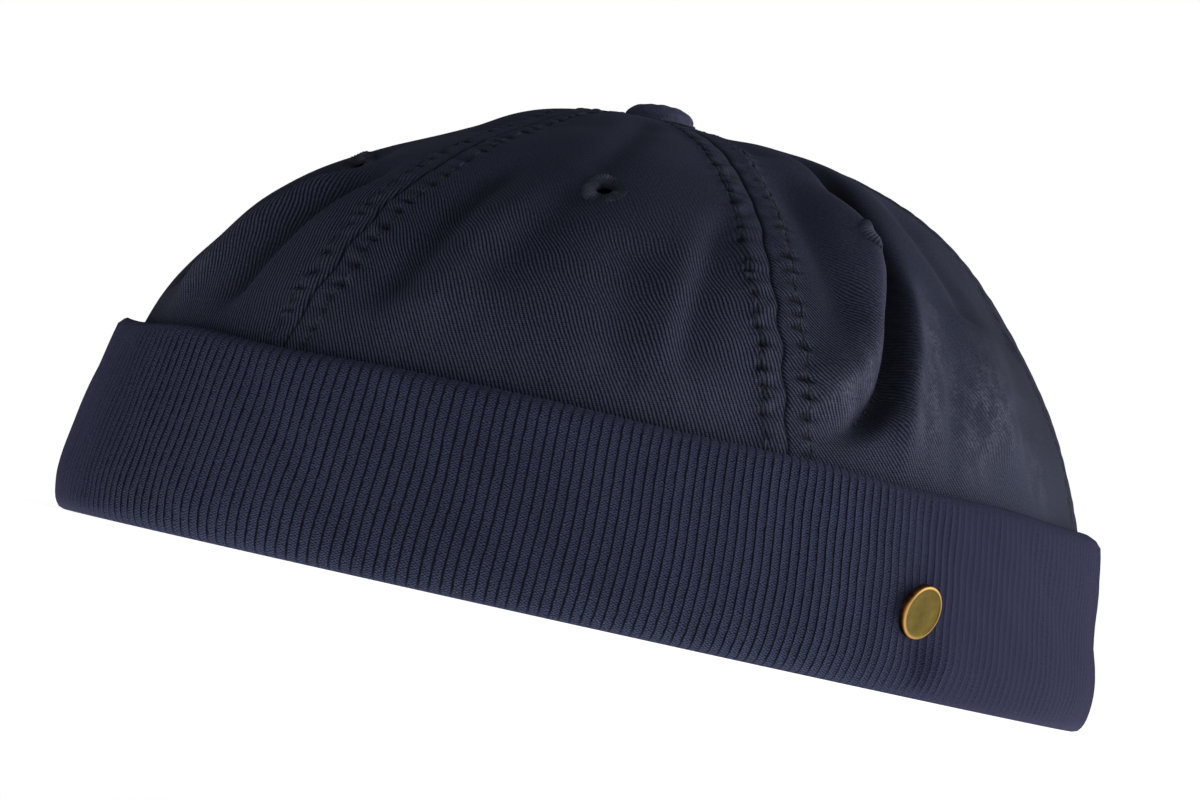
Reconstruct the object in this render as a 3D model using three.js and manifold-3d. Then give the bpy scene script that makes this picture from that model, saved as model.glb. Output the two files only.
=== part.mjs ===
// Docker cap: a brimless six-panel twill crown in a turned-up rib-knit cuff.
// Millimetres, +Z up. The front faces -Y and the wearer's left is +X. The cap rests on its rim at z = 0.
// "turn" is the angle round the cap in degrees, from the front towards the wearer's left.
// "rise" is the angle up the crown in degrees, 0 at the hem and 90 at the top.
import * as THREE from 'three';
import { mergeVertices } from 'three/addons/utils/BufferGeometryUtils.js';
import Module from 'manifold-3d';

// Driving dimensions
const rim = { halfWidth: 95, halfDepth: 105 };
const crown = {
  halfWidth: 90.5,
  halfDepth: 100.5,
  hemHeight: 3.5,
  height: 91.6,
  roundness: 2.25,
  cloth: 1.2,
  panels: 6,
  topRise: 88.8,
};
const topLean = { distance: 4.5, turn: 308, fromRise: 45, toRise: 85 };
const seam = { halfGap: 0.15, middle: 2.6, outer: 5.4, raise: 0.5, tuck: 0.35 };
const puff = { middle: 0.9, atSeam: -0.5, fromRise: 15, fullRise: 27, fadeRise: 66, endRise: 86 };
const cuff = { startTurn: -163, endTurn: 155, ribs: 256, ribDepth: 0.7, plainSteps: 40 };
const band = { cloth: 1.0, gap: 0.6, low: 10, high: 31, steps: 32 };
const backBand = { cloth: 1.2, low: 3.5, high: 28, endGap: 0.4, steps: 8 };
const button = { radius: 6.5, height: 3.3, gap: 0.4, postRadius: 1.4, washerRadius: 4.5, washerThickness: 0.6 };
const eyelet = { radius: 4.2, neckRadius: 1.9, holeRadius: 1.2, raise: 0.8, bevel: 0.8, gap: 0.35 };
const badge = {
  turn: 77,
  height: 15,
  radius: 5,
  thickness: 1.3,
  rimWidth: 0.4,
  postRadius: 0.6,
  postLength: 2,
  gap: 0.3,
};
const clearance = 0.3; // left all round a post, neck or ring that goes through the cloth
const facets = { peg: 12, eyelet: 10, button: 18, badge: 18 };
// Moves the cap back, so that the middle of its box stands over the origin: the cuff is open at the back.
const shiftBack = 2.2;

// Broad fullness and slackness of the crown, outward in mm.
const fullness = [
  { turn: 125, rise: 62, turnSpread: 55, riseSpread: 17, out: 4 },
  { turn: 305, rise: 62, turnSpread: 55, riseSpread: 17, out: -4.5 },
];

// Main folds of the crown: a crease has a depth inward, a ridge a negative one.
const folds = [
  { name: 'side crease top', turn: 93, rise: 68, toTurn: 85, toRise: 51, width: 4.5, depth: 2.4 },
  { name: 'side crease', turn: 85, rise: 51, toTurn: 81, toRise: 35, width: 5, depth: 3.6 },
  { name: 'side crease hook', turn: 81, rise: 35, toTurn: 67, toRise: 22, width: 5, depth: 2.8 },
  { name: 'side ridge', turn: 79, rise: 56, toTurn: 74, toRise: 33, width: 5.5, depth: -2 },
  { name: 'side swell', turn: 91, rise: 30, toTurn: 95, toRise: 44, width: 8, depth: -2 },
  { name: 'side low dent', turn: 97, rise: 22, toTurn: 98, toRise: 32, width: 6, depth: 1.2 },
  { name: 'front fold', turn: 18, rise: 50, toTurn: 9, toRise: 27, width: 5.5, depth: 1.6 },
  { name: 'front ridge', turn: 25, rise: 47, toTurn: 16, toRise: 25, width: 6, depth: -1 },
  { name: 'middle fold', turn: 36, rise: 46, toTurn: 30, toRise: 25, width: 6.5, depth: 1.2 },
  { name: 'low dent', turn: 51, rise: 21, toTurn: 46, toRise: 29, width: 7, depth: 1.4 },
  { name: 'right front crease', turn: -8, rise: 42, toTurn: -18, toRise: 24, width: 5.5, depth: 2 },
  { name: 'right front ridge', turn: -17, rise: 42, toTurn: -26, toRise: 25, width: 5.5, depth: -1.2 },
  { name: 'right front fold', turn: -24, rise: 48, toTurn: -36, toRise: 26, width: 6.5, depth: 2 },
  { name: 'left back fold', turn: 143, rise: 52, toTurn: 137, toRise: 24, width: 6.5, depth: 2.2 },
  { name: 'back fold', turn: 201, rise: 46, toTurn: 207, toRise: 23, width: 7, depth: 1.8 },
  { name: 'right side crease', turn: 262, rise: 58, toTurn: 257, toRise: 28, width: 7, depth: 2.4 },
];

const eyelets = [
  { turn: 31, rise: 50 },
  { turn: 79, rise: 50 },
  { turn: 150, rise: 50 },
  { turn: 211, rise: 50 },
  { turn: 270, rise: 50 },
  { turn: 329, rise: 50 },
];

// Outer face of the cuff from the fold up to the lip: inset from the rim's outline, height, and share of
// the ribs' full depth.
const cuffFace = [
  { inset: 0.6, height: 1.6, ribShare: 0.4 },
  { inset: 0.1, height: 8.5, ribShare: 1 },
  { inset: 1.9, height: 21, ribShare: 1 },
  { inset: 4.3, height: 33.8, ribShare: 0.3 },
];
// The rest of the cuff's section: the flat resting ring, inner leaf, slot for the crown's hem, and lip.
const cuffInside = [
  { inset: 2.2, height: 0 },
  { inset: 6.9, height: 0 },
  { inset: 8.6, height: 1.2 },
  { inset: 9.2, height: 3.2 },
  { inset: 9.2, height: 8.4 },
  { inset: 7.9, height: 9.5 },
  { inset: 6.6, height: 8.6 },
  { inset: 6.6, height: 3.6 },
  { inset: 5.9, height: 3 },
  { inset: 4.2, height: 3 },
  { inset: 3.4, height: 4 },
  { inset: 3.5, height: 12 },
  { inset: 5.4, height: 24 },
  { inset: 7.5, height: 33.2 },
  { inset: 7.2, height: 35.2 },
  { inset: 6.1, height: 36 },
  { inset: 4.9, height: 35.3 },
];

const colours = {
  twill: { color: 0x232834, roughness: 0.82, metalness: 0 },
  knit: { color: 0x212538, roughness: 0.95, metalness: 0 },
  lining: { color: 0x08090c, roughness: 0.95, metalness: 0 },
  thread: { color: 0x2b303d, roughness: 0.8, metalness: 0 },
  brass: { color: 0x8c7436, roughness: 0.38, metalness: 1 },
};

const { clamp, degToRad, lerp, smoothstep } = THREE.MathUtils;

// ---- helpers ----

function turnGap(a, b) {
  return THREE.MathUtils.euclideanModulo(a - b + 180, 360) - 180;
}

function geometryFrom(points, faces) {
  const geometry = new THREE.BufferGeometry();
  geometry.setAttribute('position', new THREE.Float32BufferAttribute(points.flatMap((p) => [p.x, p.y, p.z]), 3));
  geometry.setIndex(faces.flat());
  return geometry;
}

// A wall between two grids of points, closed round its four edges. Columns run with turn, rows upwards.
function wallGeometry(columns, rows, outerAt, innerAt) {
  const points = [];
  for (const surfaceAt of [outerAt, innerAt]) {
    for (let j = 0; j <= rows; j += 1) {
      for (let i = 0; i <= columns; i += 1) {
        points.push(surfaceAt(i, j));
      }
    }
  }
  const outer = (i, j) => j * (columns + 1) + i;
  const inner = (i, j) => (rows + 1) * (columns + 1) + outer(i, j);
  const faces = [];
  const quad = (a, b, c, d) => faces.push([a, b, c], [a, c, d]);
  for (let j = 0; j < rows; j += 1) {
    for (let i = 0; i < columns; i += 1) {
      quad(outer(i, j), outer(i + 1, j), outer(i + 1, j + 1), outer(i, j + 1));
      quad(inner(i, j), inner(i, j + 1), inner(i + 1, j + 1), inner(i + 1, j));
    }
    quad(outer(0, j), outer(0, j + 1), inner(0, j + 1), inner(0, j));
    quad(outer(columns, j), inner(columns, j), inner(columns, j + 1), outer(columns, j + 1));
  }
  for (let i = 0; i < columns; i += 1) {
    quad(inner(i, 0), inner(i + 1, 0), outer(i + 1, 0), outer(i, 0));
    quad(outer(i, rows), outer(i + 1, rows), inner(i + 1, rows), inner(i, rows));
  }
  return geometryFrom(points, faces);
}

function makeMesh(name, geometry, finish) {
  const mesh = new THREE.Mesh(geometry, new THREE.MeshStandardMaterial(finish));
  mesh.name = name;
  return mesh;
}

function turned(profile, segments) {
  return new THREE.LatheGeometry(profile.map(([radius, height]) => new THREE.Vector2(radius, height)), segments)
    .rotateX(Math.PI / 2);
}

// ---- solids joined and cut ----

const wasm = await Module();
wasm.setup();

function toSolid(geometry) {
  const bare = geometry.clone();
  bare.deleteAttribute('normal');
  bare.deleteAttribute('uv');
  const merged = mergeVertices(bare, 1e-4);
  return new wasm.Manifold(new wasm.Mesh({
    numProp: 3,
    vertProperties: new Float32Array(merged.attributes.position.array),
    triVerts: new Uint32Array(merged.index.array),
  }));
}

function fromSolid(solid) {
  const mesh = solid.getMesh();
  const geometry = new THREE.BufferGeometry();
  geometry.setAttribute('position', new THREE.BufferAttribute(mesh.vertProperties, 3));
  geometry.setIndex(new THREE.BufferAttribute(mesh.triVerts, 1));
  return geometry;
}

function pegAlong(place, radius, from, to) {
  const peg = new THREE.CylinderGeometry(radius, radius, to - from, facets.peg);
  return peg.rotateX(Math.PI / 2).translate(0, 0, (from + to) / 2).applyMatrix4(place);
}

// Degrees or mm each way over which a surface's direction is measured.
const frameStep = 3;

// A frame with its own Z along the outward normal.
function frameAt(point, normal) {
  const turnTo = new THREE.Quaternion().setFromUnitVectors(new THREE.Vector3(0, 0, 1), normal);
  return new THREE.Matrix4().compose(point, turnTo, new THREE.Vector3(1, 1, 1));
}

// ---- crown ----

// Broad dome without any relief: a superellipse in height over an ellipse in plan.
function domeAt(turn, rise) {
  const t = degToRad(turn);
  const p = degToRad(rise);
  const climb = Math.sin(p) ** (2 / crown.roundness);
  const lean = topLean.distance * smoothstep(rise, topLean.fromRise, topLean.toRise);
  const leanTurn = degToRad(topLean.turn);
  const point = new THREE.Vector3(
    crown.halfWidth * Math.cos(p) * Math.sin(t) + lean * Math.sin(leanTurn),
    -crown.halfDepth * Math.cos(p) * Math.cos(t) - lean * Math.cos(leanTurn),
    crown.hemHeight + crown.height * climb,
  );
  const normal = new THREE.Vector3(
    2 * Math.cos(p) * Math.sin(t) / crown.halfWidth,
    -2 * Math.cos(p) * Math.cos(t) / crown.halfDepth,
    crown.roundness * climb ** (crown.roundness - 1) / crown.height,
  ).normalize();
  return { point, normal };
}

// Distance in mm from a place on the crown to a fold's line, measured on the unrolled cloth.
function distanceToFold(fold, turn, rise) {
  const reach = crown.halfDepth;
  const flat = (t, r) => new THREE.Vector2(
    degToRad(turnGap(t, fold.turn)) * Math.cos(degToRad(r)) * reach,
    degToRad(r) * reach,
  );
  const start = flat(fold.turn, fold.rise);
  const along = flat(fold.toTurn, fold.toRise).sub(start);
  const here = flat(turn, rise).sub(start);
  const share = clamp(here.dot(along) / along.lengthSq(), 0, 1);
  return here.distanceTo(along.multiplyScalar(share));
}

// Height of the cloth over the broad dome, outward.
function reliefAt(turn, rise) {
  const panelArc = 360 / crown.panels;
  const fromSeam = Math.abs(turnGap(turn * crown.panels, 0)) / crown.panels;
  const radius = Math.cos(degToRad(rise)) * (crown.halfWidth + crown.halfDepth) / 2;
  const seamDistance = degToRad(fromSeam) * radius;
  const aboveCuff = smoothstep(rise, puff.fromRise, puff.fullRise);
  const belowButton = 1 - smoothstep(rise, puff.fadeRise, puff.endRise);
  const free = aboveCuff * belowButton;
  let out = free * lerp(puff.atSeam, puff.middle, Math.sin(Math.PI * fromSeam / panelArc));
  const strip = 1 - smoothstep(seamDistance, seam.middle, seam.outer);
  const tuck = 1 - smoothstep(seamDistance, 0, seam.middle);
  out += free * (seam.raise * strip - seam.tuck * tuck);
  for (const area of fullness) {
    const across = turnGap(turn, area.turn) / area.turnSpread;
    const up = (rise - area.rise) / area.riseSpread;
    out += belowButton * area.out * Math.exp(-across * across - up * up);
  }
  for (const fold of folds) {
    const away = distanceToFold(fold, turn, rise) / fold.width;
    out -= aboveCuff * fold.depth * Math.exp(-away * away);
  }
  return out;
}

function crownAt(turn, rise, inward) {
  const { point, normal } = domeAt(turn, rise);
  return point.addScaledVector(normal, reliefAt(turn, rise) - inward);
}

function crownFrame(turn, rise) {
  const across = crownAt(turn + frameStep, rise, 0).sub(crownAt(turn - frameStep, rise, 0));
  const up = crownAt(turn, rise + frameStep, 0).sub(crownAt(turn, rise - frameStep, 0));
  return frameAt(crownAt(turn, rise, 0), across.cross(up).normalize());
}

// Rows of a panel: three behind the cuff, then even steps up the visible dome.
const hiddenRows = [0, 6, 12];
const firstVisibleRise = 18;
const visibleSteps = 10;
const panelRows = [...hiddenRows];
for (let k = 0; k <= visibleSteps; k += 1) {
  panelRows.push(lerp(firstVisibleRise, crown.topRise, k / visibleSteps));
}

// Distances from the seam where a panel has a column, then even steps over each panel's middle.
const seamColumns = [seam.halfGap, seam.middle, seam.outer];
const middleSteps = [8, 10, 5, 5, 5, 7];
const widestSeamShare = 0.4;

function panelColumns(rise, steps) {
  const radius = Math.cos(degToRad(rise)) * (crown.halfWidth + crown.halfDepth) / 2;
  const width = degToRad(360 / crown.panels) * radius;
  const fit = Math.min(1, widestSeamShare * width / seam.outer);
  const shares = seamColumns.map((distance) => Math.max(seam.halfGap, distance * fit) / width);
  const first = shares[shares.length - 1];
  const columns = [...shares];
  for (let k = 1; k < steps; k += 1) {
    columns.push(lerp(first, 1 - first, k / steps));
  }
  return columns.concat(shares.map((share) => 1 - share).reverse());
}

function panelGeometry(index) {
  const arc = 360 / crown.panels;
  const rows = panelRows.map((rise) => ({ rise, columns: panelColumns(rise, middleSteps[index]) }));
  const at = (inward) => (i, j) => crownAt(arc * (index + rows[j].columns[i]), rows[j].rise, inward);
  return wallGeometry(rows[0].columns.length - 1, rows.length - 1, at(0), at(crown.cloth));
}

// A panel with its eyelet's hole, and with the cloth pressed flat under the ring.
function crownPanel(index) {
  const { turn, rise } = eyelets[index];
  const place = crownFrame(turn, rise);
  const hole = toSolid(pegAlong(place, eyelet.neckRadius + clearance, -eyelet.radius, eyelet.radius));
  const seat = toSolid(pegAlong(place, eyelet.radius + clearance, eyelet.gap - clearance, eyelet.radius));
  const cut = toSolid(panelGeometry(index)).subtract(hole).subtract(seat);
  return makeMesh(`crown_panel_${index + 1}`, fromSolid(cut), colours.twill);
}

function eyeletRing(index) {
  const { turn, rise } = eyelets[index];
  const { radius, neckRadius, holeRadius, raise, bevel, gap } = eyelet;
  const profile = [
    [holeRadius, -crown.cloth],
    [neckRadius, -crown.cloth],
    [neckRadius, gap],
    [radius, gap],
    [radius, gap + raise / 2],
    [radius - bevel, gap + raise],
    [holeRadius, gap + raise * 0.8],
    [holeRadius, -crown.cloth],
  ];
  const mesh = makeMesh(`eyelet_${index + 1}`, turned(profile, facets.eyelet), colours.thread);
  mesh.applyMatrix4(crownFrame(turn, rise));
  return mesh;
}

// The button's cap, as shares of its radius and height.
const buttonCap = [
  { out: 0.94, up: 0 },
  { out: 1, up: 0.3 },
  { out: 0.9, up: 0.62 },
  { out: 0.6, up: 0.9 },
  { out: 0, up: 1 },
];

// Domed cap, post through the panels' meeting point, and the washer inside, as one turned piece.
function topButton() {
  const { radius, height, gap, postRadius, washerRadius, washerThickness } = button;
  const inside = -crown.cloth - gap;
  const profile = [
    [0, inside - washerThickness],
    [washerRadius, inside - washerThickness],
    [washerRadius, inside],
    [postRadius, inside],
    [postRadius, gap],
    ...buttonCap.map(({ out, up }) => [radius * out, gap + height * up]),
  ];
  const mesh = makeMesh('top_button', turned(profile, facets.button), colours.twill);
  mesh.position.copy(crownAt(0, 90, 0));
  return mesh;
}

// ---- cuff ----

function rimAt(turn, inset, height) {
  const t = degToRad(turn);
  return new THREE.Vector3(
    (rim.halfWidth - inset) * Math.sin(t),
    -(rim.halfDepth - inset) * Math.cos(t),
    height,
  );
}

// Triangles between two rows of points with different counts, lower row first.
function zipRows(lower, upper) {
  const faces = [];
  let i = 0;
  let k = 0;
  while (i < lower.length - 1 || k < upper.length - 1) {
    const lowerNext = i < lower.length - 1 ? (i + 1) / (lower.length - 1) : Infinity;
    const upperNext = k < upper.length - 1 ? (k + 1) / (upper.length - 1) : Infinity;
    if (lowerNext <= upperNext) {
      faces.push([lower[i], lower[i + 1], upper[k]]);
      i += 1;
    } else {
      faces.push([lower[i], upper[k + 1], upper[k]]);
      k += 1;
    }
  }
  return faces;
}

// The section runs up the ribbed outer face, over the lip, down the slot, round the inner leaf and the fold.
function cuffGeometry() {
  const points = [];
  const addRow = ({ inset, height, ribShare = 0 }, steps) => {
    const row = [];
    for (let i = 0; i <= steps; i += 1) {
      const groove = i % 2 === 0 ? cuff.ribDepth * ribShare : 0;
      row.push(points.length);
      points.push(rimAt(lerp(cuff.startTurn, cuff.endTurn, i / steps), inset + groove, height));
    }
    return row;
  };
  const face = cuffFace.map((station) => addRow(station, cuff.ribs * 2));
  const lipFirst = [...cuffInside].reverse();
  const inside = lipFirst.map((station) => addRow(station, cuff.plainSteps));
  const rows = [...face, ...inside];
  const faces = [];
  rows.forEach((row, k) => {
    faces.push(...zipRows(row, rows[(k + 1) % rows.length]));
  });
  const outline = [...cuffFace, ...lipFirst].map(({ inset, height }) => new THREE.Vector2(inset, height));
  for (const [a, b, c] of THREE.ShapeUtils.triangulateShape(outline, [])) {
    const first = (k) => rows[k][0];
    const last = (k) => rows[k][rows[k].length - 1];
    faces.push([first(a), first(c), first(b)], [last(a), last(b), last(c)]);
  }
  return geometryFrom(points, faces);
}

function cuffInsetAt(height) {
  const above = cuffFace.findIndex((station) => station.height > height);
  const low = cuffFace[above - 1];
  const high = cuffFace[above];
  return lerp(low.inset, high.inset, (height - low.height) / (high.height - low.height));
}

// Frame of the badge's back, just clear of the ribs.
function badgeFrame() {
  const { turn, height, gap } = badge;
  const at = (t, h) => rimAt(t, cuffInsetAt(h), h);
  const across = at(turn + frameStep, height).sub(at(turn - frameStep, height));
  const up = at(turn, height + frameStep).sub(at(turn, height - frameStep));
  const normal = across.cross(up).normalize();
  return frameAt(at(turn, height).addScaledVector(normal, gap), normal);
}

function ribCuff() {
  const { postRadius, postLength } = badge;
  const hole = pegAlong(badgeFrame(), postRadius + clearance, -postLength - clearance, postLength);
  return makeMesh('rib_cuff', fromSolid(toSolid(cuffGeometry()).subtract(toSolid(hole))), colours.knit);
}

// Plain disc with a raised, bevelled rim and a short post.
function badgeDisc() {
  const { radius, thickness, rimWidth, postRadius, postLength } = badge;
  const profile = [
    [0, -postLength],
    [postRadius, -postLength],
    [postRadius, 0],
    [radius - rimWidth / 2, 0],
    [radius, thickness * 0.4],
    [radius - rimWidth, thickness],
    [radius - rimWidth * 2, thickness],
    [radius - rimWidth * 3, thickness * 0.8],
    [0, thickness * 0.85],
  ];
  const mesh = makeMesh('badge', turned(profile, facets.badge), colours.brass);
  mesh.applyMatrix4(badgeFrame());
  return mesh;
}

// ---- bands inside the crown ----

// A place on a band that lines the crown's hem, where the crown has no relief.
function bandAt(turn, height, inward) {
  const climb = (height - crown.hemHeight) / crown.height;
  const rise = Math.asin(climb ** (crown.roundness / 2));
  const inset = crown.cloth + band.gap + inward;
  const t = degToRad(turn);
  return new THREE.Vector3(
    (crown.halfWidth * Math.cos(rise) - inset) * Math.sin(t),
    -(crown.halfDepth * Math.cos(rise) - inset) * Math.cos(t),
    height,
  );
}

function bandGeometry({ low, high, cloth, steps }, fromTurn, toTurn) {
  const rows = 2;
  const at = (inward) => (i, j) => bandAt(lerp(fromTurn, toTurn, i / steps), lerp(low, high, j / rows), inward);
  return wallGeometry(steps, rows, at(0), at(cloth));
}

function sweatband() {
  return makeMesh('sweatband', bandGeometry(band, cuff.startTurn, cuff.endTurn), colours.lining);
}

function bandAcrossGap() {
  const geometry = bandGeometry(backBand, cuff.endTurn + backBand.endGap, cuff.startTurn + 360 - backBand.endGap);
  return makeMesh('back_band', geometry, colours.twill);
}

// ---- assembly ----

const group = new THREE.Group();
const crownGroup = new THREE.Group();
for (let index = 0; index < crown.panels; index += 1) {
  crownGroup.add(crownPanel(index), eyeletRing(index));
}
crownGroup.add(topButton());
const cuffGroup = new THREE.Group();
cuffGroup.add(ribCuff(), badgeDisc(), sweatband(), bandAcrossGap());
group.add(crownGroup, cuffGroup);
group.position.y = shiftBack;

export default group;
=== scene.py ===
import math

import bmesh
import bpy
import numpy as np
from mathutils import Matrix, Vector


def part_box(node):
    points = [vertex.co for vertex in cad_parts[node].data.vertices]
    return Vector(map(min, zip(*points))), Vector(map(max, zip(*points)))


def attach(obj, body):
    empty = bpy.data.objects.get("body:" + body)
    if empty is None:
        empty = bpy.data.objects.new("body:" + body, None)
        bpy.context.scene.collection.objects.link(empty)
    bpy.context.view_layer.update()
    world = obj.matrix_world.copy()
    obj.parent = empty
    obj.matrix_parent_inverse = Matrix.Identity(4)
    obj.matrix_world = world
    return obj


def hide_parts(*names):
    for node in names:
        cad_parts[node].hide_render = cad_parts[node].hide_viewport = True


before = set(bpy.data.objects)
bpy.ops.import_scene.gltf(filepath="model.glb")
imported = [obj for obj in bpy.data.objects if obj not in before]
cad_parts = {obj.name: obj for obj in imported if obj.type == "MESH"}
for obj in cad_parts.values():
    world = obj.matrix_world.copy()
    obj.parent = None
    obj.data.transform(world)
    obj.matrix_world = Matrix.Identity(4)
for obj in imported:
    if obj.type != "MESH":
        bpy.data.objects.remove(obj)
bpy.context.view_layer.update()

# Docker cap: six twill panels in a turned-up rib-knit cuff, with a covered button, stitched eyelets,
# a black sweatband, a twill band across the gap at the back and a small brass badge.
# Sizes are in millimetres and angles in degrees until a mesh is made, and then metres.
# "turn" goes round the cap from the front (-Y) towards the wearer's left (+X).
# "rise" goes up the crown, 0 at the hem and 90 at the top.
mm = 0.001
shiftBack = np.array([0, 2.2, 0])  # the cap's axis stands a little behind the origin
circle = 2 * math.pi


def smoothStep(value, low, high):
    share = np.clip((value - low) / (high - low), 0, 1)
    return share * share * (3 - 2 * share)


def bell(value, width):
    return np.exp(-(value / width) ** 2)


def wrap(angle):
    return (angle + 180) % 360 - 180


def ripple(value, seed, longest):
    # soft irregular wave of about -1 to 1
    draw = np.random.default_rng(seed)
    total = np.zeros_like(value)
    for k in range(5):
        length = longest * draw.uniform(0.35, 1)
        total = total + np.sin(circle * value / length + draw.uniform(0, circle))
    return total / 2.6


def splineSpan(a, b, c, d, share):
    # Catmull-Rom from b to c
    return 0.5 * (2 * b + (c - a) * share + (2 * a - 5 * b + 4 * c - d) * share ** 2
                  + (3 * b - a - 3 * c + d) * share ** 3)


def ovalAt(turn, halfWidth, halfDepth, height):
    t = np.radians(turn)
    return np.stack([halfWidth * np.sin(t), -halfDepth * np.cos(t), height + 0 * t], axis=-1)


def softSpots(turn, rise, spots):
    # places that fade out round a turn and a rise: their two spreads and an amount
    return [amount * bell(wrap(turn - spotTurn), turnSpread) * bell(rise - spotRise, riseSpread)
            for spotTurn, spotRise, turnSpread, riseSpread, amount in spots]


def smoothPath(points, steps):
    points = np.array(points, float)
    ends = np.vstack([2 * points[0] - points[1], points, 2 * points[-1] - points[-2]])
    share = np.linspace(0, 1, steps, endpoint=False)[:, None]
    spans = [splineSpan(*four, share) for four in zip(ends[:-3], ends[1:-2], ends[2:-1], ends[3:])]
    return np.vstack(spans + [points[-1:]])


crown = {
    "halfWidth": 90.5, "halfDepth": 100.5, "hemHeight": 3.5, "height": 91.6, "roundness": 2.25,
    "cloth": 1.2, "panels": 6, "topRise": 88.8,
    "lean": 4.5,  # how far the top leans, towards which turn and between which rises
    "leanTurn": 308, "leanRises": (45, 85),
    "crowning": 1.4,  # how far a panel's middle stands over its seams
    "seamDip": 0.5,  # how far the seams lie in
    # the relief grows over these rises above the hem and the cuff, and dies away below the button
    "hemFade": (12, 16), "cuffFade": (15, 27), "stripFade": (62, 85), "buttonFade": (66, 86),
    "fuller": [(125, 62, 55, 17, 4), (305, 62, 55, 17, -4.5)],  # soft spots, out
    "hiddenRows": 7, "visibleFrom": 15, "visibleRows": 236, "middleColumns": 50,
    # distances from a panel's edge; neighbours overlap, so that no light comes between
    "edgeColumns": [-0.05, 0.12, 0.32, 0.55, 0.9, 1.35, 1.8, 2.25, 2.7, 3.15, 3.55, 3.9, 4.2, 4.5, 4.8,
                    5.15, 5.6, 6.2, 6.9],
}


def domeAt(turn, rise):
    # points and normals of the crown's broad dome
    wide, deep, high, power = (crown[key] for key in ("halfWidth", "halfDepth", "height", "roundness"))
    around = np.cos(np.radians(rise))
    climb = np.sin(np.radians(rise)) ** (2 / power)
    lean = crown["lean"] * smoothStep(rise, *crown["leanRises"])
    point = ovalAt(turn, wide * around, deep * around, crown["hemHeight"] + high * climb)
    point += ovalAt(crown["leanTurn"] + 0 * rise, lean, lean, 0)
    normal = ovalAt(turn, 2 * around / wide, 2 * around / deep, power * climb ** (power - 1) / high)
    return point, normal / np.linalg.norm(normal, axis=-1, keepdims=True)


def ringRadius(rise):
    return np.cos(np.radians(rise)) * (crown["halfWidth"] + crown["halfDepth"]) / 2


def climbLengths():
    # length up the dome's side in mm for each degree of rise
    rises = np.arange(0, 91, 1.0)
    point, _ = domeAt(np.full_like(rises, 30), rises)
    return rises, np.concatenate([[0], np.cumsum(np.linalg.norm(np.diff(point, axis=0), axis=1))])


riseSteps, riseLengths = climbLengths()

seam = {
    # how far each seam strays from its line at these rises, in degrees
    "swayRises": [0, 18, 32, 45, 58, 72, 90],
    "sway": [[0, 0, 0, -0.6, -1.4, -2, 0], [0, 0.6, -0.6, -2, -2.4, -1.6, 0],
             [0, 0.5, 1, 0.4, -0.8, 1, 0], [0, -0.6, -1, 0.2, 1.2, 1.5, 0],
             [0, 0.4, 0.9, 1.4, 0.3, -1.2, 0], [0, 0.7, 0.3, -1, -1.6, -1, 0]],
    "wander": 0.22,  # small wavering of the line
    "rowAt": 4.4,  # stitch row from the seam's middle
    "rowAtTop": 0.27,  # but at most this share of a panel's width
    "raise": 0.55,  # the turned edges underneath lift the strip
    "roll": 0.5,  # how far the folded edge rolls down into the seam
    "rollWidth": 0.34,
    "channel": 0.32,  # how deep the thread pulls the cloth in
    "channelWidth": 0.5,
    "pucker": 0.75,  # dents that reach from a hole across the strip
    "puckerInner": 2.1, "puckerOuter": 1.3, "puff": 0.25,
    "pitch": 3.5,  # one stitch
    # how tight the two rows of each seam are, on its sides of smaller and larger turn
    "tightness": [(1, 1), (1, 1.5), (0.1, 0.1), (1, 1), (1, 1), (1, 1)],
}


def seamTurn(number, rise):
    sway = seam["sway"][number % crown["panels"]]
    wander = seam["wander"] * ripple(rise, 90 + number % crown["panels"], 11)
    return number * 360 / crown["panels"] + np.interp(rise, seam["swayRises"], sway) + wander


def nearestSeam(turn, rise):
    # number of the nearest seam, signed angle from it and distance in mm
    seams = np.stack([seamTurn(k, rise) for k in range(crown["panels"])], axis=-1)
    gaps = wrap(turn[..., None] - seams)
    number = np.argmin(np.abs(gaps), axis=-1)
    gap = np.take_along_axis(gaps, number[..., None], axis=-1)[..., 0]
    return number, gap, np.radians(np.abs(gap)) * ringRadius(rise)


def rowSeed(number, side):
    return 10 * number + 2 + side


def stitchPhase(along, side, seed):
    # counts the holes along a row, one to each whole number
    return along / seam["pitch"] + 0.25 * ripple(along, seed, 30) + 0.25 * side


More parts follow.
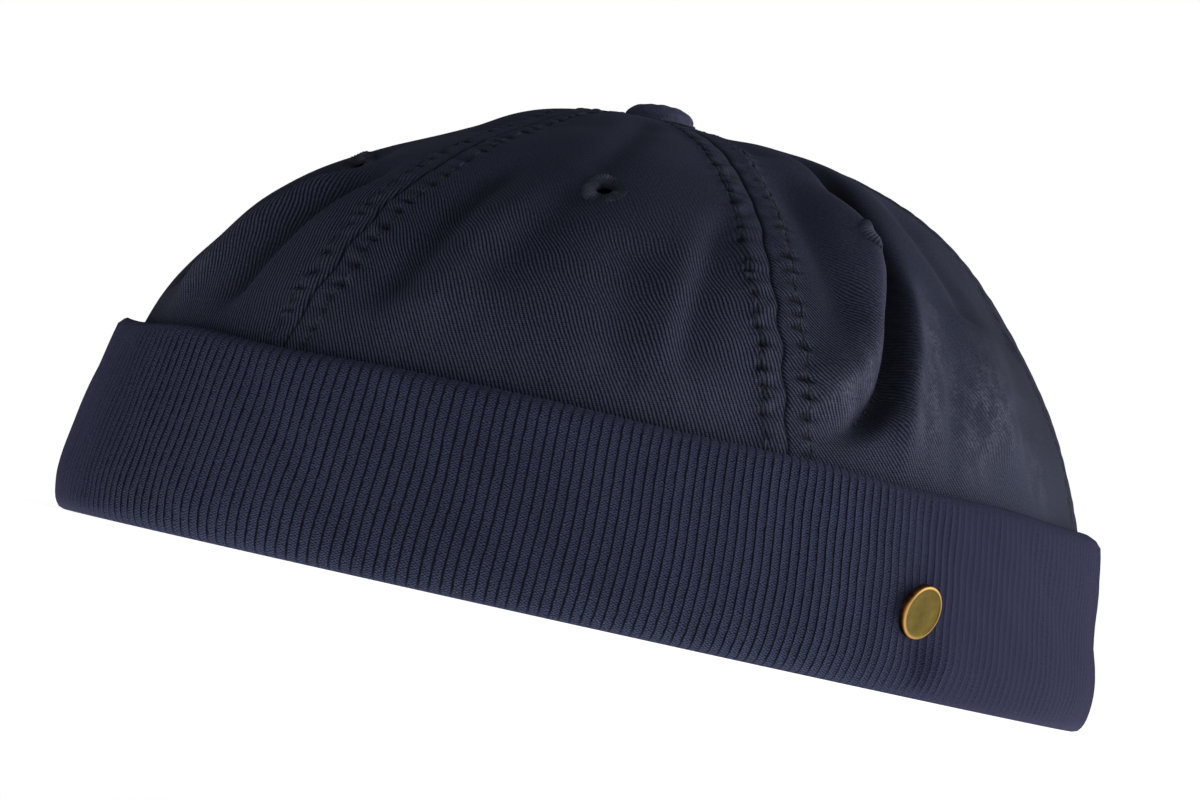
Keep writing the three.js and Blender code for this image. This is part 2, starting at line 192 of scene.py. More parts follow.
def seamShape(turn, rise):
    # relief of the seams' strips, rows and puckers, with painted shade in their groove, holes and channels,
    # and their worn places
    s = seam
    number, gap, distance = nearestSeam(turn, rise)
    along = np.interp(rise, riseSteps, riseLengths)
    relief, dark, wear = (np.zeros_like(turn) for k in range(3))
    for k in range(crown["panels"]):
        for side in (-1, 1):
            here = (number == k) & (np.sign(gap) == side)
            if not here.any():
                continue
            seed, tight = rowSeed(k, side), s["tightness"][k][side > 0]
            away, length = distance[here], along[here]
            beyond = away - s["rowAt"]
            phase = stitchPhase(length, side, seed)
            hole = (0.5 + 0.5 * np.cos(circle * phase)) ** 3
            pulls = np.random.default_rng(seed + 5).uniform(0.25, 1.3, 99)
            pull = pulls[np.clip(np.rint(phase).astype(int), 0, 98)] * tight
            reach = np.where(beyond < 0, s["puckerInner"], s["puckerOuter"])
            form = s["raise"] * (1 - smoothStep(beyond, -0.7, 1.7))
            form -= s["roll"] * np.exp(-away / s["rollWidth"])
            form -= s["channel"] * bell(beyond, s["channelWidth"]) * (0.7 + 0.3 * pull)
            form -= s["pucker"] * pull * (hole - 0.3) * bell(beyond, reach)
            puff = s["puff"] * (0.2 + 0.8 * min(1, tight)) * bell(away - 2.4, 1.6)
            form += puff * ripple(length + 0.4 * away, seed + 13, 8)
            relief[here] = form
            # painted shade: the groove, the stitch holes and the channel are darkened
            dark[here] = (bell(away, 0.34) + 1.1 * hole * pull * bell(beyond + 0.4, 0.6 * reach)
                          + 0.4 * bell(beyond, 0.45))
            wear[here] = (1 - hole) * (0.9 * pull * bell(beyond, 0.5) + 0.22 * bell(away - 2.5, 1.4))
    return relief, dark, wear


# Creases (a depth inward) and ridges (a negative one) along paths that run downwards: depth, widths on the
# sides of smaller and larger turn, sharpness and the path's turns and rises. Some have a band of painted
# shade
# beside the path as well: how far to the right, its spread and amount.
folds = {
    "left side": [
        (5.4, 2, 2.4, 1.6, [(92, 72), (86, 63), (82, 55), (81, 48), (79, 41), (77, 35), (74.5, 29),
         (70, 24), (64.5, 21)], (2.2, 1.3, 0.85)),
        (-3.2, 6, 2.6, 2, [(77, 62), (78, 53), (76.5, 46), (73.8, 39), (71.5, 33), (67, 28), (63.5, 25)]),
        (1.7, 3.6, 3.2, 2, [(70, 64), (67.5, 54), (67.5, 47), (69, 41), (69, 34)]),
        (-1.8, 2, 2.2, 2, [(83.5, 48), (81.8, 41), (80, 35), (77.5, 29), (76, 22), (75.5, 17)]),
        (1.3, 1.9, 4, 1.6, [(87, 36), (85.5, 29), (83.5, 22), (82.5, 17)]),
        (-2, 7, 9, 2, [(94, 23), (94, 33), (97, 44)]),
        (1.6, 3.6, 4.6, 1.8, [(101, 63), (98, 54), (97, 46), (94, 39)]),
        (0.8, 5, 6, 2, [(103, 55), (106, 48), (112, 44), (117, 40)]),
        (1.3, 4, 6, 2, [(101, 33), (101, 26), (100, 19)]),
    ],
    "left front": [
        (2.9, 4, 5.4, 1.7, [(13, 56), (10.5, 47), (11, 39), (10.5, 32), (8.5, 24)], (0, 3, 0.2)),
        (-1.2, 5, 6, 2, [(22, 50), (18.5, 40), (17.5, 31), (15, 23)]),
        (1.6, 5, 6, 1.8, [(28, 52), (25, 44), (23.5, 37), (21, 29)], (0, 4, 0.2)),
        (1.5, 5.5, 7, 2, [(39, 44), (39, 35), (40, 27), (41, 20)]),
        (-0.7, 4, 4, 2, [(47, 46), (45, 38), (44.5, 30), (44, 25)]),
        (1.9, 2.8, 5.5, 1.6, [(52, 52), (50, 45), (48.5, 38), (47.5, 31), (47, 24)]),
    ],
    "right front": [
        (2.4, 4.2, 3, 1.8, [(-10, 50), (-13, 42), (-14, 34), (-14.5, 27), (-15, 20)], (-1.2, 2.8, 0.5)),
        (-2.3, 3.6, 4, 2, [(-17, 47), (-20, 39), (-22, 32), (-25, 25), (-27, 19)]),
        (3.2, 5.4, 4.6, 1.7, [(-26, 55), (-28, 45), (-30, 36), (-34, 29), (-38, 23)], (0, 3.6, 0.45)),
    ],
    "below the button": [
        (1.2, 3.2, 3.2, 1.8, [(34, 78), (33, 68), (30, 58), (27, 52)]),
        (1, 3, 3, 1.8, [(84, 82), (74, 74), (70, 67)]),
        (1, 3, 3, 1.8, [(-22, 80), (-20, 70), (-15, 62)]),
    ],
    "back": [
        (2.2, 6.5, 5, 1.8, [(146, 58), (143, 48), (140, 37), (136, 24)]),
        (1.2, 5, 6, 2, [(160, 44), (161, 34), (165, 24)]),
        (1.9, 5.5, 7, 1.8, [(199, 54), (202, 44), (204, 34), (208, 23)]),
        (-1.1, 6, 6, 2, [(190, 47), (192, 36), (194, 25)]),
        (1.2, 5, 5, 1.8, [(226, 42), (224, 32), (220, 22)]),
    ],
    "right side": [
        (2.6, 6.5, 5, 1.7, [(264, 64), (262, 54), (259, 42), (256, 28)]),
        (-1.3, 5, 6, 2, [(273, 56), (271, 44), (269, 30)]),
        (1.3, 5, 5, 1.8, [(289, 44), (285, 34), (281, 23)]),
    ],
}


def unrolled(turn, rise, fromTurn):
    # flat place in mm, measured from one turn
    p = np.radians(rise)
    return np.stack([np.radians(wrap(turn - fromTurn)) * np.cos(p), p], axis=-1) * crown["halfDepth"]


def foldRelief(turn, rise):
    out, dark = np.zeros_like(turn), np.zeros_like(turn)
    for depth, left, right, sharp, points, *shades in sum(folds.values(), []):
        path = smoothPath(points, 4)
        line = unrolled(*path.T, path[0, 0])
        steps = np.diff(line, axis=0)
        # from each place to the nearest point of every step, and then of the nearest step
        off = unrolled(turn, rise, path[0, 0])[..., None, :] - line[:-1]
        share = np.clip((off * steps).sum(-1) / (steps ** 2).sum(-1), 0, 1)
        off = off - share[..., None] * steps
        side = (steps[:, 0] * off[..., 1] - steps[:, 1] * off[..., 0]) * (line[0, 1] - line[-1, 1])
        away = np.hypot(*np.moveaxis(off, -1, 0))
        along = (share + np.arange(len(steps))) / len(steps)
        nearest = np.argmin(away, axis=-1)[..., None]
        side, away, along = (np.take_along_axis(v, nearest, -1)[..., 0] for v in (side, away, along))
        taper = smoothStep(along, -0.05, 0.22) * (1 - smoothStep(along, 0.8, 1.05))
        out -= depth * taper * np.exp(-(away / np.where(side > 0, right, left)) ** sharp)
        for offset, spread, amount in shades:
            dark += amount * taper * bell(np.where(side > 0, away, -away) - offset, spread)
    return out, dark


# soft ripples of the washed cloth
slack = {"seed": 4, "waves": 18, "shortest": 9, "longest": 40, "height": 0.4}


def slackRelief(turn, rise):
    point, _ = domeAt(turn, rise)
    draw = np.random.default_rng(slack["seed"])
    out = np.zeros_like(turn)
    for k in range(slack["waves"]):
        length = draw.uniform(slack["shortest"], slack["longest"])
        heading = draw.normal(size=3)
        heading /= np.linalg.norm(heading)
        phase = circle * point @ heading / length + draw.uniform(0, circle)
        out += length / slack["longest"] * np.sin(phase)
    return slack["height"] * out / math.sqrt(slack["waves"] / 2)


def crownRelief(turn, rise):
    # height of the cloth over the dome, with painted shade in its seams and creases, and its worn places
    _, gap, distance = nearestSeam(turn, rise)
    aboveHem = smoothStep(rise, *crown["hemFade"])
    aboveCuff = smoothStep(rise, *crown["cuffFade"])
    belowButton = 1 - smoothStep(rise, *crown["buttonFade"])
    arch = np.sin(np.clip(np.abs(gap) * crown["panels"] / 360, 0, 0.5) * math.pi)
    out = aboveCuff * belowButton * (crown["crowning"] * arch - crown["seamDip"])
    out += belowButton * sum(softSpots(turn, rise, crown["fuller"]))
    strip, dark, wear = seamShape(turn, rise)
    out += strip * (1 - 0.75 * smoothStep(rise, *crown["stripFade"])) * (0.35 + 0.65 * aboveCuff)
    offStrip = 0.5 + 0.5 * smoothStep(distance, seam["rowAt"] - 1, seam["rowAt"] + 2)
    creased, shaded = foldRelief(turn, rise)
    folded = aboveCuff * offStrip * creased
    loose = aboveCuff * offStrip * slackRelief(turn, rise) * belowButton
    out += folded + loose
    # painted shade in the deep creases; the ridges are worn light
    hollow = 0.25 * smoothStep(-folded, 0.9, 2.6) + 0.5 * smoothStep(-folded, 2.6, 5.4)
    ridge = 0.2 * smoothStep(folded + loose, 0.4, 1.9)
    # the dark mark is painted shade: seams, fold bands and creases
    dark, wear = dark * aboveHem + shaded + hollow, wear * aboveHem + ridge
    return out, {"dark": np.clip(dark, 0, 1), "wear": np.clip(wear, 0, 1)}


def crownSurface(turn, rise, out=0):
    # points on the crown's outer face and their marks
    point, normal = domeAt(turn, rise)
    relief, marks = crownRelief(turn, rise)
    return point + normal * (relief + out)[..., None] + shiftBack, marks


def crownAt(turn, rise, out=0):
    return crownSurface(np.asarray(turn, float), np.asarray(rise, float), out)[0]


def addObject(name, data):
    added = bpy.data.objects.new(name, data)
    bpy.context.scene.collection.objects.link(added)
    return added


def makePiece(mesh, material, slot, *nodes, thickness=0):
    piece = addObject(mesh.name, mesh)
    mesh.polygons.foreach_set("use_smooth", [True] * len(mesh.polygons))
    mesh.materials.append(material)
    if thickness:
        wall = piece.modifiers.new("wall", "SOLIDIFY")
        wall.thickness = thickness * mm
        wall.offset = -1
    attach(piece, "root")
    if nodes:
        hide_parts(*nodes)
    print("made", piece.name, len(mesh.polygons), "faces")
    return piece


def addMark(mesh, label, values):
    mark = mesh.attributes.new(label, "FLOAT", "POINT")
    mark.data.foreach_set("value", np.asarray(values, np.float32))


def setPoints(mesh, points):
    mesh.vertices.foreach_set("co", (points * mm).astype(np.float32).ravel())


def finishMesh(bm, name):
    mesh = bpy.data.meshes.new(name)
    bm.to_mesh(mesh)
    bm.free()
    return mesh


def gridMesh(name, columns, rows, place):
    # grid shaped by place(across, up), which gives its points, the cloth's UV and the marks
    bm = bmesh.new()
    bmesh.ops.create_grid(bm, x_segments=columns, y_segments=rows, size=0.5)
    flat = np.array([v.co[:2] for v in bm.verts]) + 0.5
    points, uv, marks = place(flat[:, 0], flat[:, 1])
    mesh = finishMesh(bm, name)
    setPoints(mesh, points)
    corners = np.empty(len(mesh.loops), np.int32)
    mesh.loops.foreach_get("vertex_index", corners)
    layer = mesh.uv_layers.new(name="cloth")
    layer.data.foreach_set("uv", uv[corners].astype(np.float32).ravel())
    for label, values in marks.items():
        addMark(mesh, label, values)
    mesh.update()
    return mesh


def editMesh(mesh, work):
    bm = bmesh.new()
    bm.from_mesh(mesh)
    work(bm)
    bm.to_mesh(mesh)
    bm.free()
    mesh.update()


def spunMesh(name, profile, steps, unrollFrom=None):
    # profile of radius and height in mm, spun about Z; the UV is flat, or unrolled from a height
    bm = bmesh.new()
    verts = [bm.verts.new((radius, 0, height)) for radius, height in profile]
    edges = [bm.edges.new(pair) for pair in zip(verts, verts[1:])]
    bmesh.ops.spin(bm, geom=verts + edges, cent=(0, 0, 0), axis=(0, 0, 1), angle=circle, steps=steps,
                   use_merge=True)
    bmesh.ops.remove_doubles(bm, verts=bm.verts, dist=0.001)
    bmesh.ops.recalc_face_normals(bm, faces=bm.faces)
    layer = bm.loops.layers.uv.new("cloth")
    for face in bm.faces:
        for loop in face.loops:
            flat, height = loop.vert.co.xy, loop.vert.co.z
            drop = 0 if unrollFrom is None else (unrollFrom - height) / max(flat.length, 0.1)
            loop[layer].uv = flat * (1 + drop)
    return finishMesh(bm, name)


def moveMesh(mesh, matrix):
    mesh.transform(matrix @ Matrix.Diagonal((mm, mm, mm, 1)))
    mesh.update()


def frameOf(point, x, y, z):
    # frame with its origin at a point and its own axes as given
    return Matrix.Translation(point) @ Matrix((x, y, z)).transposed().to_4x4()


class Nodes:
    # adds shader nodes to one material
    def __init__(self, name):
        self.material = bpy.data.materials.new(name)
        self.material.use_nodes = True
        self.tree = self.material.node_tree
        self.tree.nodes.clear()
        self.output = self.add("OutputMaterial")

    def add(self, kind, settings=None, **inputs):
        node = self.tree.nodes.new("ShaderNode" + kind)
        for key, value in (settings or {}).items():
            setattr(node, key, value)
        for key, value in inputs.items():
            self.put(node.inputs[int(key[1:]) if key[0] == "n" and key[1:].isdigit() else key], value)
        return node

    def put(self, socket, value):
        if isinstance(value, bpy.types.NodeSocket):
            self.tree.links.new(value, socket)
        else:
            socket.default_value = value

    def maths(self, operation, a, b=0, c=0):
        return self.add("Math", {"operation": operation}, n0=a, n1=b, n2=c).outputs[0]

    def plus(self, total, *others):
        for other in others:
            total = self.maths("ADD", total, other)
        return total

    def times(self, product, *others):
        for other in others:
            product = self.maths("MULTIPLY", product, other)
        return product

    def length(self, vector):
        return self.add("VectorMath", {"operation": "LENGTH"}, n0=vector).outputs["Value"]

    def mix(self, share, a, b):
        node = self.add("Mix", {"data_type": "RGBA"})
        self.put(node.inputs[0], share)
        self.put(node.inputs[6], a)
        self.put(node.inputs[7], b)
        return node.outputs[2]

    def noise(self, vector, scale, detail=2, roughness=0.5):
        return self.add("TexNoise", Vector=vector, Scale=scale, Detail=detail,
                        Roughness=roughness).outputs["Fac"]

    def ramp(self, value, low=0, high=1, toLow=0, toHigh=1):
        return self.add("MapRange", n0=value, n1=low, n2=high, n3=toLow, n4=toHigh).outputs[0]

    def around(self, value, weight):
        # 0 where the value is 0.5
        return self.maths("MULTIPLY_ADD", value, weight, -weight / 2)

    def wave(self, phase):
        return self.maths("MULTIPLY_ADD", self.maths("SINE", phase), 0.5, 0.5)

    def cloth(self):
        return self.add("UVMap", {"uv_map": "cloth"}).outputs[0]

    def place(self):
        return self.add("TexCoord").outputs["Object"]

    def stretched(self, vector, scale, turn=0):
        return self.add("Mapping", Vector=vector, Scale=scale, Rotation=(0, 0, turn)).outputs[0]

    def parts(self, vector):
        return self.add("SeparateXYZ", n0=vector).outputs

    def mark(self, label):
        return self.add("Attribute", {"attribute_name": label}).outputs["Fac"]

    def bump(self, height, depth, strength=0.9):
        return self.add("Bump", Strength=strength, Distance=depth * mm, Height=height).outputs[0]

    def finish(self, shader):
        self.tree.links.new(shader.outputs[0], self.output.inputs["Surface"])
        return self.material

    def surface(self, colour, bump, **settings):
        shader = self.add("BsdfPrincipled", n0=colour, Normal=bump)
        for key, value in settings.items():
            self.put(shader.inputs[key.replace("_", " ")], value)
        return self.finish(shader)


def shade(red, green, blue):
    # linear colour from sRGB numbers
    parts = [c / 255 / 12.92 if c <= 10 else ((c / 255 + 0.055) / 1.055) ** 2.4 for c in (red, green, blue)]
    return (*parts, 1)


twill = {
    # deep is the painted shade of the dark mark; worn is worn cloth and painted highlight
    "deep": shade(8, 10, 17), "dark": shade(15, 19, 31), "light": shade(79, 86, 112),
    "worn": shade(108, 110, 129),
    "pitch": 0.66,  # from line to line
    "bead": 0.42,  # along a line
    "crownAngle": -30, "bandAngle": 78, "depth": 0.15,
    "fadeRise": (36, 54),  # the lines grow fainter towards the top
    "fadeShare": 0.9,
    # soft spots where the lines are worn away, where the cloth is worn light and partly painted highlight,
    # and painted shade where it is darker
    "faded": [(88, 42, 17, 22, 0.95), (104, 26, 14, 16, 0.9)],
    "wearAndHighlight": [(86, 42, 1.8, 3.5, 0.7), (84, 36.5, 1.8, 3.5, 1), (81.5, 31, 1.8, 3.5, 1.1),
               (80, 25.5, 2, 3.5, 1), (92, 30, 5, 5, 1.1), (88, 24, 2.5, 4, 0.8), (72, 30, 3, 3.5, 0.9),
               (67.5, 26, 3, 2.5, 0.9), (-24.5, 28, 2, 6, 0.5), (103, 24, 3, 5, 0.7), (46, 22, 16, 4, 0.2),
               (12, 22, 18, 5, 0.2)],
    "shaded": [(-38, 38, 11, 30, 0.42), (88, 62, 9, 9, 0.3), (34, 52, 26, 9, 0.3), (116, 34, 12, 30, 0.3),
               (101, 39, 14, 17, 0.42), (67, 42, 6, 12, 0.3)],
}


def makeTwill(name, angle, brightness=0.44):
    n = Nodes(name)
    uv = n.cloth()
    across, along, _ = n.parts(n.stretched(uv, (1, 1, 1), math.radians(angle)))
    across = n.plus(across, n.times(n.noise(uv, 0.09, 2), 0.4), n.times(n.noise(uv, 0.9, 2), 0.22))
    phase = n.times(across, circle / twill["pitch"])
    line = n.ramp(n.wave(phase), 0.2, 0.7)
    bead = n.wave(n.plus(n.times(along, circle / twill["bead"]), n.times(phase, 0.5)))
    fuzz = n.noise(uv, 2.2, 3, 0.65)
    cloud = n.noise(n.place(), 26, 4, 0.6)
    clear = n.times(n.mark("lines"), n.ramp(cloud, 0.3, 0.65, 0.6, 1))
    beaded = n.times(line, n.plus(n.times(bead, 0.5), n.ramp(fuzz, 0.3, 0.7, 0.35, 0.85)))
    ribbed = n.times(clear, n.around(beaded, 1.3))
    tone = n.plus(ribbed, brightness, n.around(fuzz, 1), n.around(cloud, 0.35))
    colour = n.mix(n.ramp(tone), twill["dark"], twill["light"])
    raised = n.ramp(line, toLow=0.45)
    grain = n.ramp(n.noise(uv, 1.8, 3, 0.65), 0.33, 0.66)
    blotch = n.ramp(n.noise(n.stretched(uv, (1, 0.5, 1)), 0.35, 3, 0.6), 0.42, 0.58, 0.3, 1.4)
    # the wear mark lightens towards the worn colour: worn cloth, and painted highlight from the lit spots
    # and the button
    wearAndHighlight = n.times(n.mark("wear"), raised, grain, blotch)
    colour = n.mix(n.times(wearAndHighlight, 0.75), colour, twill["worn"])
    # painted shade: the dark mark darkens towards the deep colour
    colour = n.mix(n.times(n.mark("dark"), 0.8), colour, twill["deep"])
    height = n.plus(n.times(ribbed, 0.8), n.times(fuzz, 0.3))
    return n.surface(colour, n.bump(height, twill["depth"]), Roughness=0.8, Specular_IOR_Level=0.2,
                     Sheen_Weight=0.05, Sheen_Roughness=0.45, Sheen_Tint=shade(140, 150, 185))


thread = {"dark": shade(29, 34, 47), "worn": shade(98, 104, 122)}


def makeThread(name, patchShare, sheen):
    n = Nodes(name)
    patches = n.noise(n.place(), 300, 3, 0.6)
    strands = n.noise(n.place(), 3200, 2)
    patched = n.times(n.ramp(patches, 0.46, 0.7), patchShare)
    tone = n.plus(patched, n.around(strands, 0.5), n.mark("wear"))
    colour = n.mix(n.ramp(tone, 0, 1.1), thread["dark"], thread["worn"])
    return n.surface(colour, n.bump(strands, 0.06, 0.6), Roughness=0.7, Specular_IOR_Level=0.25,
                     Sheen_Weight=sheen)


crownTwill = makeTwill("twill", twill["crownAngle"])
bandTwill = makeTwill("band_twill", twill["bandAngle"])
# the button's twill is a lighter copy of the crown's: painted light on its dome
buttonTwill = makeTwill("button_twill", twill["crownAngle"], 0.76)
sewingThread = makeThread("sewing_thread", 0.6, 0.1)
eyeletThread = makeThread("eyelet_thread", 0.4, 0)

eyelet = {
    "rise": 50,
    "turns": [31, 79, 150, 211, 270, 329],
    "threads": 34,
    "neck": 1.5,  # radius of the hole
    "middle": 2.9,  # radius where the ring stands highest
    "halfWidth": 1.3,  # from there outwards
    "height": 0.6, "lift": -0.2, "lumps": 11,
    "cut": 2.5,  # radius that is taken out of the cloth
}


def panelPlace(index):
    near = np.array(crown["edgeColumns"])
    count = 2 * len(near) + crown["middleColumns"] - 1
    hidden = np.linspace(0, crown["visibleFrom"], crown["hiddenRows"], endpoint=False)
    visible = np.linspace(crown["visibleFrom"], crown["topRise"], crown["visibleRows"])
    rises = np.concatenate([hidden, visible])

    def place(across, up):
        rise = rises[np.rint(up * (len(rises) - 1)).astype(int)]
        column = np.rint(across * count).astype(int)
        left, right = seamTurn(index, rise), seamTurn(index + 1, rise)
        width = np.radians(right - left) * ringRadius(rise)
        fit = np.minimum(1, 0.38 * width / near[-1])  # the edge columns draw together near the top
        fromEdge = np.minimum(column, count - column)
        atEdge = near[np.minimum(fromEdge, len(near) - 1)] * fit
        middle = (column - len(near) + 1) / (count - 2 * len(near) + 2)
        edge = near[-1] * fit
        distance = np.where(fromEdge >= len(near), edge + middle * (width - 2 * edge),
                            np.where(column < count / 2, atEdge, width - atEdge))
        turn = left + (right - left) * distance / width
        point, marks = crownSurface(turn, rise)
        # worn spots, partly painted highlight on lit bands, and spots of painted shade
        marks["wear"] += sum(softSpots(turn, rise, twill["wearAndHighlight"]))
        marks["dark"] += sum(softSpots(turn, rise, twill["shaded"]))
        marks["lines"] = 1 - twill["fadeShare"] * smoothStep(rise, *twill["fadeRise"])
        for faded in softSpots(turn, rise, twill["faded"]):
            marks["lines"] *= 1 - faded
        uv = np.stack([distance - width / 2, np.interp(rise, riseSteps, riseLengths)], axis=-1)
        return point, uv, marks

    return count, len(rises) - 1, place


def makePanel(index):
    mesh = gridMesh(f"crown_cloth_{index + 1}", *panelPlace(index))
    holeMiddle = Vector(crownAt([eyelet["turns"][index]], [eyelet["rise"]])[0]) * mm

    def cutHole(bm):
        inside = [f for f in bm.faces if (f.calc_center_median() - holeMiddle).length < eyelet["cut"] * mm]
        bmesh.ops.delete(bm, geom=inside, context="FACES")

    editMesh(mesh, cutHole)
    piece = makePiece(mesh, crownTwill, "twill", f"crown_panel_{index + 1}", thickness=crown["cloth"])


def makeEyelet(index):
    e = eyelet
    profile = [(e["neck"], -1)]
    for k in range(11):
        angle = math.pi * (1 - k / 10)
        radius = e["middle"] + (e["halfWidth"] if k > 5 else e["middle"] - e["neck"]) * math.cos(angle)
        profile.append((radius, e["lift"] + e["height"] * math.sin(angle) ** 0.8))
    profile.append((e["middle"] + e["halfWidth"], -0.4))
    mesh = spunMesh(f"eyelet_ring_{index + 1}", profile, e["threads"] * 4)
    lumps = np.random.default_rng(60 + index).uniform(0.3, 1.3, e["lumps"])
    wear = []
    for vert in mesh.vertices:
        angle = math.atan2(vert.co.y, vert.co.x) % circle
        away = math.hypot(vert.co.x, vert.co.y)
        lump = np.interp(angle / circle * e["lumps"], range(e["lumps"] + 1), [*lumps, lumps[0]])
        cord = math.cos(e["threads"] * angle)
        onTop = max(0, 1 - ((away - e["middle"]) / (e["middle"] - e["neck"])) ** 2)
        spread = 1 + (0.1 * (lump - 0.8) + 0.03 * cord) * (away > e["middle"])
        higher = onTop * (0.08 * cord + 0.75 * (lump - 0.8))
        vert.co = (vert.co.x * spread, vert.co.y * spread, vert.co.z + higher)
        wear.append(onTop ** 2 * (0.08 + 0.06 * cord + (0.9 + 0.4 * cord) * max(0, lump - 0.75)))
    # the ring follows the folds of its cloth
    across, up, out = np.array([vert.co for vert in mesh.vertices]).T
    turns = e["turns"][index] + np.degrees(across / ringRadius(e["rise"]))
    rises = np.interp(np.interp(e["rise"], riseSteps, riseLengths) + up, riseLengths, riseSteps)
    setPoints(mesh, crownAt(turns, rises, out))
    addMark(mesh, "wear", wear)
    mesh.update()
    makePiece(mesh, eyeletThread, "thread", f"eyelet_{index + 1}")


for index in range(crown["panels"]):
    makePanel(index)
    makeEyelet(index)

stitch = {"length": 2.3, "thick": 0.2, "lift": 0.04, "sink": 0.2, "fromRise": 15.5, "toRise": 83}


def addStitch(bm, middle, reach, normal, thick):
    # one short length of thread, its ends sunk in the cloth
    along = Vector(reach).normalized()
    side = Vector(normal).cross(along).normalized()
    size = Matrix.Diagonal((np.linalg.norm(reach), thick, thick, 1))
    place = frameOf(Vector(middle), along, side, along.cross(side)) @ size
    grown = bmesh.ops.create_uvsphere(bm, u_segments=8, v_segments=6, radius=1)
    bmesh.ops.rotate(bm, verts=grown["verts"], matrix=Matrix.Rotation(math.pi / 2, 3, "Y"))
    bmesh.ops.transform(bm, verts=grown["verts"], matrix=place)


def makeSeamStitches():
    bm = bmesh.new()
    draw = np.random.default_rng(11)
    topShare = seam["rowAtTop"] * circle / crown["panels"]
    start, stop = np.interp([stitch["fromRise"], stitch["toRise"]], riseSteps, riseLengths)
    for k in range(crown["panels"]):
        for side in (-1, 1):
            line = np.arange(start, stop, 0.1)
            phase = stitchPhase(line, side, rowSeed(k, side))
            # one stitch between each two holes of the row
            alongs = np.interp(np.arange(math.ceil(phase[0]) + 0.5, phase[-1] - 0.5), phase, line)
            half = stitch["length"] / 2 * draw.uniform(0.8, 1.1, len(alongs))
            rises = np.interp(np.stack([alongs - half, alongs, alongs + half]), riseLengths, riseSteps)
            away = np.minimum(seam["rowAt"], topShare * ringRadius(rises))
            away = away + draw.normal(0, 0.06, len(alongs))
            turns = seamTurn(k, rises) + side * np.degrees(away / ringRadius(rises))
            loose = max(0, 1 - seam["tightness"][k][side > 0])
            low, middle, high = crownAt(turns, rises, stitch["lift"] - stitch["sink"] * loose)
            _, normals = domeAt(turns[1], rises[1])
            thick = stitch["thick"] * draw.uniform(0.85, 1.2, len(alongs))
            for j, reach in enumerate((high - low) / 2):
                addStitch(bm, middle[j] * mm, reach * mm, normals[j], thick[j] * mm)
    makePiece(finishMesh(bm, "seam_stitches"), sewingThread, "thread")


makeSeamStitches()


def toward(azimuth, elevation):
    level = math.cos(math.radians(elevation))
    return Vector(ovalAt(azimuth, level, level, math.sin(math.radians(elevation))))


button = {"top": 3.5, "flare": 1.1, "rings": 14, "segments": 96, "gathers": 13, "gatherDepth": 0.03,
          "crumple": 0.12, "lean": 3.5, "leanTurn": 38, "sink": 0.25}


def makeButton():
    b = button
    low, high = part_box("top_button")
    radius = (high.x - low.x) / 2 / mm
    # flat underneath, a slight flange where the cloth is drawn under, then the dome
    profile = [(0, 0.05), (radius * 0.8, 0.05), (radius * b["flare"], 0.1), (radius * b["flare"], 0.3),
               (radius * 1.02, 0.6)]
    for k in range(1, b["rings"] + 1):
        angle = math.pi / 2 * k / b["rings"]
        height = 0.8 + (b["top"] - 0.8) * math.sin(angle) ** 1.1
        profile.append((radius * 1.03 * math.cos(angle) ** 0.8, height))
    mesh = spunMesh("button_cover", profile, b["segments"], b["top"])
    wear = []
    for vert in mesh.vertices:
        x, y, z = vert.co
        angle, away = math.atan2(y, x), math.hypot(x, y) / radius
        edge = max(0, (away - 0.6) / 0.4) ** 2
        gather = math.sin(b["gathers"] * angle + 1.3 * math.sin(3 * angle)) + 0.4 * math.sin(9 * angle + 1)
        shrink = 1 - b["gatherDepth"] * edge * (0.5 - 0.5 * gather) / radius
        crumple = b["crumple"] * math.sin(1.9 * x + 0.8) * math.sin(1.1 * y + 0.3 * x) * (z > b["top"] / 2)
        vert.co = (x * shrink, y * shrink, z + crumple * (1 - edge))
        # lighter all over, painted light on the dome, with patches and a worn edge
        wear.append(0.5 + 0.5 * max(0, math.sin(0.9 * x + 1) * math.sin(0.7 * y)) + 0.2 * edge)
    addMark(mesh, "wear", wear)
    addMark(mesh, "lines", [0.04] * len(wear))
    foot = high.z - (b["top"] + b["sink"]) * mm
    place = Matrix.Translation(((low.x + high.x) / 2, (low.y + high.y) / 2, foot))
    moveMesh(mesh, place @ Matrix.Rotation(math.radians(b["lean"]), 4, toward(b["leanTurn"], 0)))
    makePiece(mesh, buttonTwill, "twill", "top_button")


makeButton()

